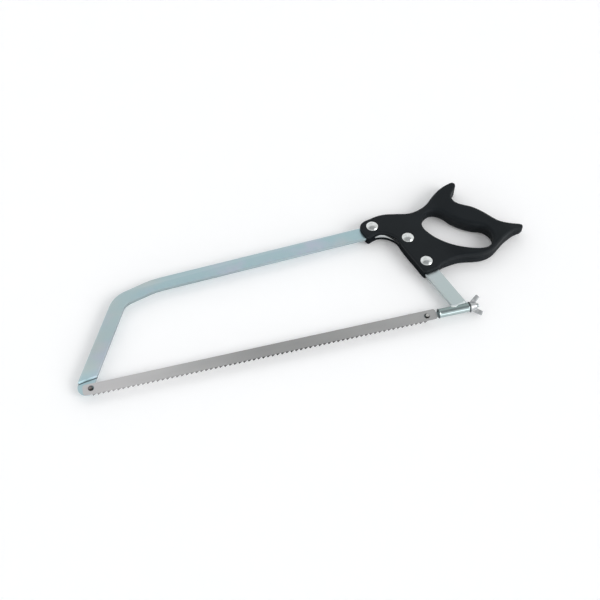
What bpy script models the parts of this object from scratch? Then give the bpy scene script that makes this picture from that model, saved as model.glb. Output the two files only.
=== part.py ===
"""A butcher's bow saw lying on its side.

Modelled in the saw's own plane: X runs along the blade from the front pin to the rear pin, Y from the
blade to the bar, and Z = 0 is the mid-plane of the bar and the blade. The root empty then stands the saw
on the ground, with the origin under the middle of its box. All lengths are in metres.
"""

import math

import bmesh
import bpy
from mathutils import Matrix, Vector
from mathutils.geometry import delaunay_2d_cdt, interpolate_bezier

# Fits
CLEARANCE = 0.0003  # between pieces that touch, and round everything that passes through a hole

# Bow: one flat steel bar, bent in its own plane
PIN_SPAN = 0.450
BAR_WIDTH = 0.020
BAR_THICKNESS = 0.005
BAR_EDGE_ROUND = 0.0007
FRONT_LEG_ANGLE = math.radians(63.0)  # front leg to blade
FRONT_LEG_AHEAD = 0.0078  # its centre line ahead of the front pin, at the pin's height
FRONT_CORNER_RISE = 0.1246
SHOULDER_RUN = 0.049
SHOULDER_SLOPE = math.radians(16.0)
BAR_SLOPE = math.radians(3.06)
REAR_LEG_LEAN = math.radians(17.0)  # from the square to the blade
REAR_LEG_BEHIND = 0.049  # its centre line behind the rear pin, at the pin's height
FRONT_BEND_RADIUS = 0.028
SHOULDER_BEND_RADIUS = 0.090
REAR_BEND_RADIUS = 0.038

# Front eye: the leg's end, pressed to less than half its thickness to seat the blade
EYE_RADIUS = 0.0119
EYE_RISE = 0.0047  # its centre up the leg from the pins' line
EYE_SHOULDER_RISE = 0.0122
EYE_SHOULDER_TILT = math.radians(10.0)

# Blade
BLADE_THICKNESS = 0.0008
BLADE_BACK = 0.0068  # from the front hole's centre to the plain edge
BLADE_DEPTH = 0.0115  # from the front hole's centre to the tooth tips
BLADE_RISE = 0.0018  # the blade over the pins' line at its rear hole
BLADE_END = 0.0098  # past the front pin
BLADE_TAIL = 0.0128  # past the rear pin
BLADE_HOLE_DIAMETER = 0.0080
BLADE_CORNER = 0.0040
TOOTH_PITCH = 0.0063
TOOTH_DEPTH = 0.0026
TOOTH_RAKE = 0.14  # share of the pitch from gullet to tip on the cutting face
TOOTH_LAND = 0.16  # share of the pitch that is flat gullet

# Pins that the blade hooks over
PIN_DIAMETER = 0.0055
PIN_STAND = 0.0014  # above the blade
PIN_CHAMFER = 0.0005
PIN_FOOT_DIAMETER = 0.0076
PIN_FOOT_HEIGHT = 0.0009

# Tensioner: spindle through a sleeve, drawn back by a wing nut
SLEEVE_DIAMETER = 0.0125
SLEEVE_WALL = 0.0020
SLEEVE_LENGTH = 0.0430
SLEEVE_AHEAD = 0.034  # its mouth ahead of the leg's centre line
SPINDLE_STEP = 0.035  # behind the mouth, where the shank gives way to the thread
THREAD_DIAMETER = 0.006
THREAD_TAIL = 0.003  # past the wing nut
TONGUE_WIDTH = 0.0090
TONGUE_THICKNESS = 0.0026
TONGUE_END = 0.0075  # past the rear pin, towards the front
TONGUE_NECK_GAP = 0.0022  # between the tongue and the sleeve's mouth
SPINDLE_FLAT_DEPTH = 0.0012  # how far the flat runs into the sleeve
WASHER_DIAMETER = 0.0145
WASHER_THICKNESS = 0.0014

# Wing nut
NUT_BASE_DIAMETER = 0.0125
NUT_TOP_DIAMETER = 0.0095
NUT_HEIGHT = 0.0085
WING_REACH = 0.0149  # from the axis to the wing's outer corner
WING_LENGTH = 0.0162  # from the nut's base to the wing's rear corner, along the axis
WING_BLADE = 0.0064  # across the wing
WING_CORNER = 0.0014
WING_THICKNESS = 0.0028
WING_FLARE = math.radians(36.0)  # wing to axis
WING_ROLL = math.radians(25.0)  # the far wing lies this much above the saw's plane
WING_ROUND = 0.0007

# Handle: two moulded scales that clamp the bar's rear bend
CHEEK_THICKNESS = 0.0170
GRIP_THICKNESS = 0.0220
SWELL_START = 0.040  # behind the rear corner of the bar
SWELL_END = 0.092
HORN_THICKNESS = 0.0140  # at the rear horn's tip
HORN_START = 0.146
HORN_END = 0.178
CHEEK_EDGE = 0.0020
SOFT_EDGE = 0.0036
GRIP_EDGE = 0.0058
TIP_EDGE = 0.0024
CORNER_ROUND = 0.0030
NOTCH_RECESS = 0.0002  # the notch behind the bar's own edge
NOTCH_START = math.radians(28.0)  # about the bend's centre, from the saw's length
NOTCH_END = math.radians(90.0)
NOTCH_STEPS = 3
NOSE_MARGIN = 0.0010  # from the bar's bare stretch to the handle's nose

# Binding screws: a domed barrel nut in front, a slotted screw of the same head behind
HEAD_DIAMETER = 0.0170
HEAD_RIM = 0.0010
HEAD_DOME = 0.0026
HEAD_RECESS = 0.0010
BARREL_DIAMETER = 0.0070
BARREL_DEPTH = 0.0045  # below the mid-plane
SCREW_DIAMETER = 0.0048
SCREW_REACH = 0.0035  # above the mid-plane
SLOT_WIDTH = 0.0016
SLOT_DEPTH = 0.0014
NOSE_SCREW = (0.0304, 0.0043)  # along the bar from the rear corner, and out from its centre line
BEND_SCREW = (0.0311, 0.0032)  # along the leg, and out
HEEL_SCREW = (0.0780, 0.0018)

# Facets
ARC_STEP = math.radians(7.5)
OUTLINE_STEP = 0.0052
FACE_STEP = 0.0110
EDGE_SEGMENTS = 4
ROUND_SEGMENTS = 32
DOME_RINGS = 4
BEZIER_REACH = 0.36  # handle length as a share of the chord, near the arc's own
TRIANGLES_INSIDE = 1  # what the triangulation returns
SAME_POINT = 1e-7

# Handle outlines, from the rear corner of the bar: (x, y, edge radius), and a fourth value rounds a corner
HANDLE_OUTLINE = (
    (-0.0420, -0.0166, CHEEK_EDGE, CORNER_ROUND),  # nose, low corner
    (-0.0478, 0.0030, CHEEK_EDGE),
    (-0.0448, 0.0108, CHEEK_EDGE),
    (-0.0300, 0.0165, CHEEK_EDGE),
    (-0.0110, 0.0195, CHEEK_EDGE),  # crest over the bend
    (0.0090, 0.0161, CHEEK_EDGE),
    (0.0270, 0.0127, CHEEK_EDGE),  # saddle for the web of the thumb
    (0.0430, 0.0164, SOFT_EDGE),
    (0.0560, 0.0230, SOFT_EDGE),
    (0.0680, 0.0336, SOFT_EDGE),
    (0.0840, 0.0446, SOFT_EDGE),
    (0.0986, 0.0500, TIP_EDGE),
    (0.1046, 0.0508, TIP_EDGE),  # upper horn
    (0.1078, 0.0470, TIP_EDGE),
    (0.1052, 0.0408, TIP_EDGE),
    (0.0982, 0.0330, SOFT_EDGE),
    (0.0948, 0.0240, SOFT_EDGE),
    (0.0982, 0.0162, GRIP_EDGE),  # back of the grip
    (0.1190, 0.0014, GRIP_EDGE),
    (0.1300, -0.0100, GRIP_EDGE),
    (0.1390, -0.0224, GRIP_EDGE),
    (0.1465, -0.0314, GRIP_EDGE),
    (0.1570, -0.0382, SOFT_EDGE),
    (0.1690, -0.0419, TIP_EDGE),
    (0.1762, -0.0451, TIP_EDGE),  # rear horn
    (0.1757, -0.0493, TIP_EDGE),
    (0.1610, -0.0527, TIP_EDGE),
    (0.1460, -0.0597, SOFT_EDGE),
    (0.1320, -0.0699, SOFT_EDGE),
    (0.1185, -0.0790, SOFT_EDGE),
    (0.1050, -0.0824, SOFT_EDGE),  # under the finger hole
    (0.0710, -0.0788, SOFT_EDGE),
    (0.0540, -0.0806, CHEEK_EDGE),
    (0.0424, -0.0832, CHEEK_EDGE, CORNER_ROUND),
    (0.0376, -0.0888, CHEEK_EDGE, CORNER_ROUND),  # heel, where the leg comes out
    (0.0162, -0.0930, CHEEK_EDGE, CORNER_ROUND),
    (0.0002, -0.0396, CHEEK_EDGE),  # the bend's notch follows
)
FINGER_HOLE = (
    (0.0382, -0.0148, CHEEK_EDGE),
    (0.0404, -0.0052, CHEEK_EDGE),
    (0.0462, 0.0040, CHEEK_EDGE),
    (0.0572, 0.0096, SOFT_EDGE),
    (0.0664, 0.0076, SOFT_EDGE),
    (0.0732, 0.0008, GRIP_EDGE),
    (0.0810, -0.0104, GRIP_EDGE),
    (0.0930, -0.0220, GRIP_EDGE),
    (0.1070, -0.0310, GRIP_EDGE),
    (0.1200, -0.0366, GRIP_EDGE),
    (0.1270, -0.0440, SOFT_EDGE),
    (0.1288, -0.0540, SOFT_EDGE),
    (0.1250, -0.0640, SOFT_EDGE),
    (0.1172, -0.0714, SOFT_EDGE),
    (0.1080, -0.0726, SOFT_EDGE),
    (0.0940, -0.0692, SOFT_EDGE),
    (0.0740, -0.0594, SOFT_EDGE),
    (0.0560, -0.0452, CHEEK_EDGE),
    (0.0440, -0.0294, CHEEK_EDGE),
)

# Sizes that follow
BAR_HALF = BAR_THICKNESS / 2
BLADE_HALF = BLADE_THICKNESS / 2
SEAT_LEVEL = -BLADE_HALF - CLEARANCE  # what carries the blade lies below this
PIN_SLACK = (BLADE_HOLE_DIAMETER - PIN_DIAMETER) / 2 - CLEARANCE  # pin to hole centre, blade drawn tight
SLEEVE_BORE = SLEEVE_DIAMETER - 2 * SLEEVE_WALL
SHANK_DIAMETER = SLEEVE_BORE - 2 * CLEARANCE
SLEEVE_MOUTH = PIN_SPAN + REAR_LEG_BEHIND - SLEEVE_AHEAD
SLEEVE_BACK = SLEEVE_MOUTH + SLEEVE_LENGTH
WASHER_FACE = SLEEVE_BACK + CLEARANCE
NUT_FACE = WASHER_FACE + WASHER_THICKNESS + CLEARANCE
THREAD_HOLE = THREAD_DIAMETER + 2 * CLEARANCE
PIN_HOLE = PIN_DIAMETER + 2 * CLEARANCE
BARREL_HOLE = BARREL_DIAMETER + 2 * CLEARANCE
BARREL_BORE = SCREW_DIAMETER + 2 * CLEARANCE
HEAD_HOLE = HEAD_DIAMETER + 2 * CLEARANCE
HEAD_SEAT = CHEEK_THICKNESS / 2 - HEAD_RECESS
CUT_PAST = 0.005  # how far a cutter runs past what it cuts
LEG_DOWN = Vector((math.sin(REAR_LEG_LEAN), -math.cos(REAR_LEG_LEAN)))
LEG_OUT = Vector((math.cos(REAR_LEG_LEAN), math.sin(REAR_LEG_LEAN)))
BAR_BACK = Vector((math.cos(BAR_SLOPE), math.sin(BAR_SLOPE)))
BAR_OUT = Vector((-math.sin(BAR_SLOPE), math.cos(BAR_SLOPE)))


def clear_scene():
    for thing in list(bpy.data.objects):
        bpy.data.objects.remove(thing, do_unlink=True)


# Plane geometry

def bow_corners():
    """On the centre line: front leg's foot, front corner, shoulder, rear corner and rear leg's foot."""
    foot = Vector((-FRONT_LEG_AHEAD, 0.0))
    corner = foot + Vector((FRONT_CORNER_RISE / math.tan(FRONT_LEG_ANGLE), FRONT_CORNER_RISE))
    shoulder = corner + Vector((SHOULDER_RUN, SHOULDER_RUN * math.tan(SHOULDER_SLOPE)))
    heel = Vector((PIN_SPAN + REAR_LEG_BEHIND, 0.0))
    rise = shoulder.y + (heel.x - shoulder.x) * math.tan(BAR_SLOPE)
    height = rise / (1 + math.tan(BAR_SLOPE) * math.tan(REAR_LEG_LEAN))
    rear = Vector((heel.x - height * math.tan(REAR_LEG_LEAN), height))
    return foot, corner, shoulder, rear, heel


def arc(centre, radius, start, end):
    """Points along an arc, both ends included."""
    steps = max(2, math.ceil(abs(end - start) / ARC_STEP))
    angles = (start + (end - start) * i / steps for i in range(steps + 1))
    return [centre + radius * Vector((math.cos(a), math.sin(a))) for a in angles]


def bent_line(corners, radii):
    """(point, unit normal to the left) along a line with rounded corners."""
    first = (corners[1] - corners[0]).normalized()
    last = (corners[-1] - corners[-2]).normalized()
    found = [(corners[0], first.orthogonal())]
    for before, corner, after, radius in zip(corners, corners[1:], corners[2:], radii):
        into = (corner - before).normalized()
        out = (after - corner).normalized()
        turn = math.atan2(into.cross(out), into.dot(out))
        side = math.copysign(1.0, turn)
        centre = corner - into * radius * math.tan(abs(turn) / 2) + into.orthogonal() * side * radius
        start = math.atan2(*reversed(-side * into.orthogonal()))
        for point in arc(centre, radius, start, start + turn):
            found.append((point, (centre - point).normalized() * side))
    found.append((corners[-1], last.orthogonal()))
    return found


def bow_line():
    return bent_line(
        bow_corners(), (FRONT_BEND_RADIUS, SHOULDER_BEND_RADIUS, REAR_BEND_RADIUS)
    )


def strip(line, half_width):
    """Outline of a strip of even width along a line, anticlockwise."""
    right = [point - normal * half_width for point, normal in line]
    left = [point + normal * half_width for point, normal in line]
    return right + left[::-1]


def bow_outline():
    """The bar's outline. Its front end is an eye, level with the bar's outer edge and wider inwards."""
    foot, corner = bow_corners()[:2]
    along = (corner - foot).normalized()
    outer = along.orthogonal()
    half = BAR_WIDTH / 2
    centre = foot + along * EYE_RISE - outer * (EYE_RADIUS - half)
    inner_edge = BAR_WIDTH - EYE_RADIUS
    inner_end = along * math.sqrt(EYE_RADIUS**2 - inner_edge**2) - outer * inner_edge
    start = math.atan2(outer.y, outer.x)
    finish = math.atan2(inner_end.y, inner_end.x) + math.tau
    line = bow_line()[1:]
    inner = [point - normal * half for point, normal in line]
    outside = [point + normal * half for point, normal in line]
    return arc(centre, EYE_RADIUS, start, finish) + inner + outside[::-1]


def notch_knots():
    """Knots that take the handle's outline round the inside of the rear bend, whose edge stays bare."""
    turn = (math.pi / 2 + BAR_SLOPE - REAR_LEG_LEAN) / 2
    middle = (math.pi / 2 + BAR_SLOPE + REAR_LEG_LEAN) / 2
    centre = -Vector((math.cos(middle), math.sin(middle))) * REAR_BEND_RADIUS / math.cos(turn)
    radius = REAR_BEND_RADIUS - BAR_WIDTH / 2 + NOTCH_RECESS
    steps = [NOTCH_START + (NOTCH_END - NOTCH_START) * i / NOTCH_STEPS for i in range(NOTCH_STEPS + 1)]
    return [(*(centre + radius * Vector((math.cos(a), math.sin(a)))), CHEEK_EDGE) for a in steps]


def smooth_loop(knots):
    """(point, edge radius) along a closed curve through the knots, at about OUTLINE_STEP."""
    count = len(knots)
    places = [Vector(knot[:2]) for knot in knots]
    passes = []
    for i, knot in enumerate(knots):
        before = (places[i] - places[i - 1]).normalized()
        after = (places[(i + 1) % count] - places[i]).normalized()
        if len(knot) > 3:
            passes.append((places[i] - before * knot[3], before, knot[2]))
            passes.append((places[i] + after * knot[3], after, knot[2]))
        else:
            passes.append((places[i], (before + after).normalized(), knot[2]))
    found = []
    for here, there in zip(passes, passes[1:] + passes[:1]):
        chord = (there[0] - here[0]).length
        steps = max(2, round(chord / OUTLINE_STEP))
        reach = BEZIER_REACH * chord
        points = interpolate_bezier(
            here[0], here[0] + here[1] * reach, there[0] - there[1] * reach, there[0], steps + 1
        )
        for i, point in enumerate(points[:-1]):
            found.append((point.copy(), here[2] + (there[2] - here[2]) * i / steps))
    return found


def inside(point, loop):
    """Whether a point lies inside a closed loop."""
    hit = False
    for a, b in zip(loop, loop[1:] + loop[:1]):
        if (a.y > point.y) != (b.y > point.y):
            hit ^= point.x < a.x + (b.x - a.x) * (point.y - a.y) / (b.y - a.y)
    return hit


def fill(loops, extra=()):
    """Triangles that fill the first loop round the others: indices into the loops' points, then the extra."""
    points = [point for loop in loops for point in loop] + list(extra)
    edges = []
    start = 0
    for loop in loops:
        edges += [(start + i, start + (i + 1) % len(loop)) for i in range(len(loop))]
        start += len(loop)
    _, _, faces, origins, _, _ = delaunay_2d_cdt(points, edges, [], TRIANGLES_INSIDE, SAME_POINT)
    found = [[origins[i][0] for i in face] for face in faces]
    middles = [sum((points[i] for i in face), Vector((0.0, 0.0))) / 3 for face in found]
    return [f for f, middle in zip(found, middles) if not any(inside(middle, loop) for loop in loops[1:])]


# Objects

def material(name, colour, roughness, metallic=0.0):
    made = bpy.data.materials.new(name)
    made.use_nodes = True
    shader = made.node_tree.nodes["Principled BSDF"]
    shader.inputs["Base Color"].default_value = (*colour, 1.0)
    shader.inputs["Roughness"].default_value = roughness
    shader.inputs["Metallic"].default_value = metallic
    return made


def place(name, mesh, look=None, location=(0.0, 0.0, 0.0)):
    """A named object from a bmesh, with faces outward. Without a look it is a cutter."""
    bmesh.ops.recalc_face_normals(mesh, faces=mesh.faces)
    data = bpy.data.meshes.new(name)
    mesh.to_mesh(data)
    mesh.free()
    thing = bpy.data.objects.new(name, data)
    thing.location = location
    bpy.context.scene.collection.objects.link(thing)
    if look:
        data.materials.append(look)
        data.shade_smooth()
        data.set_sharp_from_angle(angle=math.radians(35.0))
    else:
        thing.hide_render = True
        thing.display_type = "WIRE"
    return thing


def prism(outline, low, high):
    """An outline in the XY plane drawn out along Z."""
    mesh = bmesh.new()
    base = mesh.faces.new([mesh.verts.new((x, y, low)) for x, y in outline])
    drawn = bmesh.ops.extrude_face_region(mesh, geom=[base])["geom"]
    tops = [v for v in drawn if isinstance(v, bmesh.types.BMVert)]
    bmesh.ops.translate(mesh, verts=tops, vec=(0.0, 0.0, high - low))
    return mesh


def turned(profile, along="Z"):
    """A profile of (radius, height) turned about an axis. It ends on the axis, or closes as a ring."""
    mesh = bmesh.new()
    rings = []
    for radius, height in profile:
        count = ROUND_SEGMENTS if radius > 0 else 1
        ring = []
        for i in range(count):
            angle = math.tau * i / ROUND_SEGMENTS
            across = (radius * math.cos(angle), radius * math.sin(angle))
            ring.append(mesh.verts.new((*across, height) if along == "Z" else (height, *across)))
        rings.append(ring)
    solid = len(rings[0]) == 1
    pairs = zip(rings, rings[1:]) if solid else zip(rings, rings[1:] + rings[:1])
    for lower, upper in pairs:
        for i in range(ROUND_SEGMENTS):
            j = (i + 1) % ROUND_SEGMENTS
            corners = [lower[i % len(lower)], lower[j % len(lower)]]
            corners += [upper[j % len(upper)], upper[i % len(upper)]]
            mesh.faces.new(list(dict.fromkeys(corners)))
    return mesh


def rod(diameter, low, high, along="Z"):
    return turned(((0.0, low), (diameter / 2, low), (diameter / 2, high), (0.0, high)), along)


def block(low, high):
    mesh = bmesh.new()
    bmesh.ops.create_cube(mesh, size=1.0)
    size = Vector(high) - Vector(low)
    middle = (Vector(high) + Vector(low)) / 2
    place_and_size = Matrix.Translation(middle) @ Matrix.Diagonal((*size, 1.0))
    bmesh.ops.transform(mesh, matrix=place_and_size, verts=mesh.verts)
    return mesh


def combine(thing, other, operation="DIFFERENCE"):
    made = thing.modifiers.new(other.name, "BOOLEAN")
    made.operation = operation
    made.object = other


def round_edges(thing, width):
    made = thing.modifiers.new("rounded edges", "BEVEL")
    made.width = width
    made.segments = 2
    made.limit_method = "ANGLE"
    made.angle_limit = math.radians(50.0)


# Bow and blade

def screw_points():
    """Centres of the three binding screws, which pass through the bar."""
    rear = bow_corners()[3]
    nose = rear - BAR_BACK * NOSE_SCREW[0] + BAR_OUT * NOSE_SCREW[1]
    bend = rear + LEG_DOWN * BEND_SCREW[0] + LEG_OUT * BEND_SCREW[1]
    heel = rear + LEG_DOWN * HEEL_SCREW[0] + LEG_OUT * HEEL_SCREW[1]
    return {"nose": nose, "bend": bend, "heel": heel}


def bow_frame():
    """The bar. Its faces part where the handle's nose begins, so that the bare stretch has its own."""
    steel = material("zinc_plated_bar", (0.45, 0.53, 0.56), 0.35, 0.9)
    mesh = prism(bow_outline(), -BAR_HALF, BAR_HALF)
    everything = mesh.verts[:] + mesh.edges[:] + mesh.faces[:]
    nose = min(knot[0] for knot in HANDLE_OUTLINE) - NOSE_MARGIN
    bare_end = bow_corners()[3] + BAR_BACK * nose
    bmesh.ops.bisect_plane(mesh, geom=everything, plane_co=(*bare_end, 0.0), plane_no=(*BAR_BACK, 0.0))
    bow = place("bow_frame", mesh, steel)
    round_edges(bow, BAR_EDGE_ROUND)
    wide = BAR_WIDTH + FRONT_LEG_AHEAD
    seat = place("eye_seat_cutter", block((-wide, -wide, SEAT_LEVEL), (wide, 0.0, BAR_HALF + CUT_PAST)))
    seat.location = (0.0, EYE_SHOULDER_RISE, 0.0)
    seat.rotation_euler = (0.0, 0.0, EYE_SHOULDER_TILT)
    combine(bow, seat)
    cope = rod(SLEEVE_DIAMETER + 2 * CLEARANCE, SLEEVE_MOUTH - CUT_PAST, SLEEVE_BACK + CUT_PAST, "X")
    combine(bow, place("sleeve_cope_cutter", cope))
    low = -BAR_HALF - CUT_PAST
    combine(bow, place("front_pin_hole_cutter", rod(PIN_HOLE, low, CUT_PAST)))
    for name, point in screw_points().items():
        hole = place(f"{name}_bar_hole_cutter", rod(BARREL_HOLE, low, -low))
        hole.location = (*point, 0.0)
        combine(bow, hole)
    return bow


def blade_outline():
    """The blade from its front hole's centre: plain back, rounded ends, and a row of raked teeth."""
    span = PIN_SPAN - 2 * PIN_SLACK
    gullet = -BLADE_DEPTH + TOOTH_DEPTH
    front = BLADE_CORNER - BLADE_END - PIN_SLACK
    tail = span + BLADE_TAIL + PIN_SLACK - BLADE_CORNER
    high = BLADE_BACK - BLADE_CORNER
    low = gullet + BLADE_CORNER
    quarter = math.pi / 2
    count = int(span / TOOTH_PITCH)
    first = (span - count * TOOTH_PITCH) / 2
    points = arc(Vector((front, high)), BLADE_CORNER, quarter, 2 * quarter)
    points += arc(Vector((front, low)), BLADE_CORNER, 2 * quarter, 3 * quarter)
    for i in range(count):
        start = first + i * TOOTH_PITCH
        points.append(Vector((start, gullet)))
        points.append(Vector((start + TOOTH_RAKE * TOOTH_PITCH, -BLADE_DEPTH)))
        points.append(Vector((start + (1 - TOOTH_LAND) * TOOTH_PITCH, gullet)))
    points += arc(Vector((tail, low)), BLADE_CORNER, -quarter, 0.0)
    points += arc(Vector((tail, high)), BLADE_CORNER, 0.0, quarter)
    return [Vector((point.x, point.y + BLADE_RISE * point.x / span)) for point in points]


def blade():
    steel = material("blade_steel", (0.40, 0.40, 0.40), 0.40, 0.9)
    made = place("blade", prism(blade_outline(), -BLADE_HALF, BLADE_HALF), steel)
    made.location = (PIN_SLACK, 0.0, 0.0)
    for name, x in (("front", PIN_SLACK), ("rear", PIN_SPAN - PIN_SLACK)):
        hole = place(f"{name}_blade_hole_cutter", rod(BLADE_HOLE_DIAMETER, -CUT_PAST, CUT_PAST))
        hole.location = (x, 0.0, 0.0)
        combine(made, hole)
    return made


def blade_pin(name, x, back, look):
    """A stud with a riveted foot behind what carries it, whose rear face is at back."""
    foot = back - CLEARANCE
    top = BLADE_HALF + PIN_STAND
    shank = PIN_DIAMETER / 2
    profile = (
        (0.0, foot - PIN_FOOT_HEIGHT),
        (PIN_FOOT_DIAMETER / 2 - PIN_CHAMFER, foot - PIN_FOOT_HEIGHT),
        (PIN_FOOT_DIAMETER / 2, foot - PIN_FOOT_HEIGHT + PIN_CHAMFER),
        (PIN_FOOT_DIAMETER / 2, foot),
        (shank, foot),
        (shank, top - PIN_CHAMFER),
        (shank - PIN_CHAMFER, top),
        (0.0, top),
    )
    return place(name, turned(profile), look, (x, 0.0, 0.0))


# Tensioner

def tension_sleeve():
    zinc = material("zinc_plated_tube", (0.50, 0.55, 0.58), 0.30, 0.9)
    outer = SLEEVE_DIAMETER / 2
    bore = SLEEVE_BORE / 2
    profile = ((bore, 0.0), (outer, 0.0), (outer, SLEEVE_LENGTH), (bore, SLEEVE_LENGTH))
    return place("tension_sleeve", turned(profile, "X"), zinc, (SLEEVE_MOUTH, 0.0, 0.0))


def tension_spindle():
    """Threaded rod, forged in front to a flat tongue that carries the rear pin behind the blade."""
    zinc = material("zinc_plated_spindle", (0.48, 0.52, 0.54), 0.35, 0.9)
    mouth = SLEEVE_MOUTH - PIN_SPAN
    neck = mouth - TONGUE_NECK_GAP
    step = mouth + SPINDLE_STEP
    end = NUT_FACE - PIN_SPAN + NUT_HEIGHT + THREAD_TAIL
    shank = SHANK_DIAMETER / 2
    thread = THREAD_DIAMETER / 2
    lead = THREAD_DIAMETER / 8
    profile = (
        (0.0, neck - TONGUE_NECK_GAP),
        (shank, neck - TONGUE_NECK_GAP),
        (shank, step),
        (thread, step),
        (thread, end - lead),
        (thread - lead, end),
        (0.0, end),
    )
    spindle = place("tension_spindle", turned(profile, "X"), zinc, (PIN_SPAN, 0.0, 0.0))
    side = shank + CUT_PAST
    flat = block((neck - CUT_PAST, -side, SEAT_LEVEL), (mouth + SPINDLE_FLAT_DEPTH, side, CUT_PAST))
    combine(spindle, place("spindle_flat_cutter", flat, location=spindle.location))
    half = TONGUE_WIDTH / 2
    ahead = arc(Vector((half - TONGUE_END, 0.0)), half, math.pi / 2, math.pi * 3 / 2)
    outline = [Vector((neck, half))] + ahead + [Vector((neck, -half))]
    tongue = prism(outline, SEAT_LEVEL - TONGUE_THICKNESS, SEAT_LEVEL)
    combine(spindle, place("tongue_joiner", tongue, location=spindle.location), "UNION")
    hole = rod(PIN_HOLE, -SLEEVE_DIAMETER, CUT_PAST)
    combine(spindle, place("rear_pin_hole_cutter", hole, location=spindle.location))
    return spindle


def nut_washer():
    zinc = material("washer_steel", (0.30, 0.31, 0.32), 0.45, 0.9)
    outer = WASHER_DIAMETER / 2
    bore = THREAD_HOLE / 2
    profile = ((bore, 0.0), (outer, 0.0), (outer, WASHER_THICKNESS), (bore, WASHER_THICKNESS))
    return place("nut_washer", turned(profile, "X"), zinc, (WASHER_FACE, 0.0, 0.0))


def wing_outline():
    """One flared wing in the plane of the axis (X) and the radius (Y), out from inside the nut's wall."""
    along = Vector((math.cos(WING_FLARE), math.sin(WING_FLARE)))
    across = along.orthogonal()
    half = WING_BLADE / 2
    end = Vector((WING_LENGTH + across.x * half, WING_REACH - across.y * half))
    root = (THREAD_HOLE + NUT_TOP_DIAMETER) / 4
    behind = end - across * half
    behind -= along * (behind.y - root) / along.y
    ahead = end + across * half
    ahead -= along * (ahead.x - CLEARANCE) / along.x
    low = end - along * WING_CORNER - across * (half - WING_CORNER)
    high = end - along * WING_CORNER + across * (half - WING_CORNER)
    tip = arc(low, WING_CORNER, WING_FLARE - math.pi / 2, WING_FLARE)
    tip += arc(high, WING_CORNER, WING_FLARE, WING_FLARE + math.pi / 2)
    return [Vector((CLEARANCE, root)), behind] + tip + [ahead]


def wing_nut():
    zinc = material("cast_wing_nut", (0.46, 0.48, 0.50), 0.40, 0.9)
    bore = THREAD_HOLE / 2
    profile = (
        (bore, 0.0),
        (NUT_BASE_DIAMETER / 2, 0.0),
        (NUT_TOP_DIAMETER / 2, NUT_HEIGHT),
        (bore, NUT_HEIGHT),
    )
    nut = place("wing_nut", turned(profile, "X"), zinc, (NUT_FACE, 0.0, 0.0))
    for name, roll in (("far", 0.0), ("near", math.pi)):
        wing = place(f"{name}_wing_joiner", prism(wing_outline(), -WING_THICKNESS / 2, WING_THICKNESS / 2))
        round_edges(wing, WING_ROUND)
        wing.location = nut.location
        wing.rotation_euler = (WING_ROLL + roll, 0.0, 0.0)
        combine(nut, wing, "UNION")
    return nut


# Handle

def ease(value, start, end):
    """From 0 at the start to 1 at the end, smoothly."""
    share = min(1.0, max(0.0, (value - start) / (end - start)))
    return share * share * (3 - 2 * share)


def half_thickness(x):
    """From the mid-plane to the face: even over the cheek, swelling to the grip, thinner at the rear horn."""
    swell = (GRIP_THICKNESS - CHEEK_THICKNESS) * ease(x, SWELL_START, SWELL_END)
    taper = (GRIP_THICKNESS - HORN_THICKNESS) * ease(x, HORN_START, HORN_END)
    return (CHEEK_THICKNESS + swell - taper) / 2


def rim(loop, level):
    """Rings of a rounded rim along a loop of (point, edge radius), from the parting face outwards."""
    count = len(loop)
    rings = []
    inward = []
    for i in range(count):
        along = (loop[(i + 1) % count][0] - loop[i - 1][0]).normalized()
        inward.append(along.orthogonal())
    rings.append([(*point, level) for point, _ in loop])
    for k in range(EDGE_SEGMENTS + 1):
        angle = math.pi / 2 * k / EDGE_SEGMENTS
        ring = []
        for (point, edge), normal in zip(loop, inward):
            moved = point + normal * edge * (1 - math.cos(angle))
            ring.append((*moved, half_thickness(point.x) - edge * (1 - math.sin(angle))))
        rings.append(ring)
    return rings


def scale_mesh():
    """One moulded half on its parting face: rims round the outline and finger hole, and a swelling face."""
    outer = smooth_loop(HANDLE_OUTLINE + tuple(notch_knots()))[::-1]
    hole = smooth_loop(FINGER_HOLE)
    rims = [rim(loop, CLEARANCE / 2) for loop in (outer, hole)]
    mesh = bmesh.new()
    made = [[[mesh.verts.new(p) for p in ring] for ring in rings] for rings in rims]
    for rings in made:
        for lower, upper in zip(rings, rings[1:]):
            for i in range(len(lower)):
                mesh.faces.new((lower[i - 1], lower[i], upper[i], upper[i - 1]))
    for level in (0, -1):
        loops = [[Vector(p[:2]) for p in rings[level]] for rings in rims]
        verts = [v for rings in made for v in rings[level]]
        extra = face_points(loops) if level else []
        verts += [mesh.verts.new((*p, half_thickness(p.x))) for p in extra]
        for face in fill(loops, extra):
            mesh.faces.new([verts[i] for i in face])
    return mesh


def face_points(loops):
    """Points of a staggered grid inside the face, clear of its edges."""
    edge = [point for loop in loops for point in loop]
    low = Vector((min(p.x for p in edge), min(p.y for p in edge)))
    high = Vector((max(p.x for p in edge), max(p.y for p in edge)))
    rows = int((high.y - low.y) / (FACE_STEP * math.sin(math.pi / 3)))
    columns = int((high.x - low.x) / FACE_STEP)
    found = []
    for j in range(rows + 1):
        for i in range(columns + 1):
            point = low + Vector(((i + j % 2 / 2) * FACE_STEP, j * FACE_STEP * math.sin(math.pi / 3)))
            clear = min((point - p).length for p in edge) > FACE_STEP / 2
            if clear and inside(point, loops[0]) and not inside(point, loops[1]):
                found.append(point)
    return found


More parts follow.
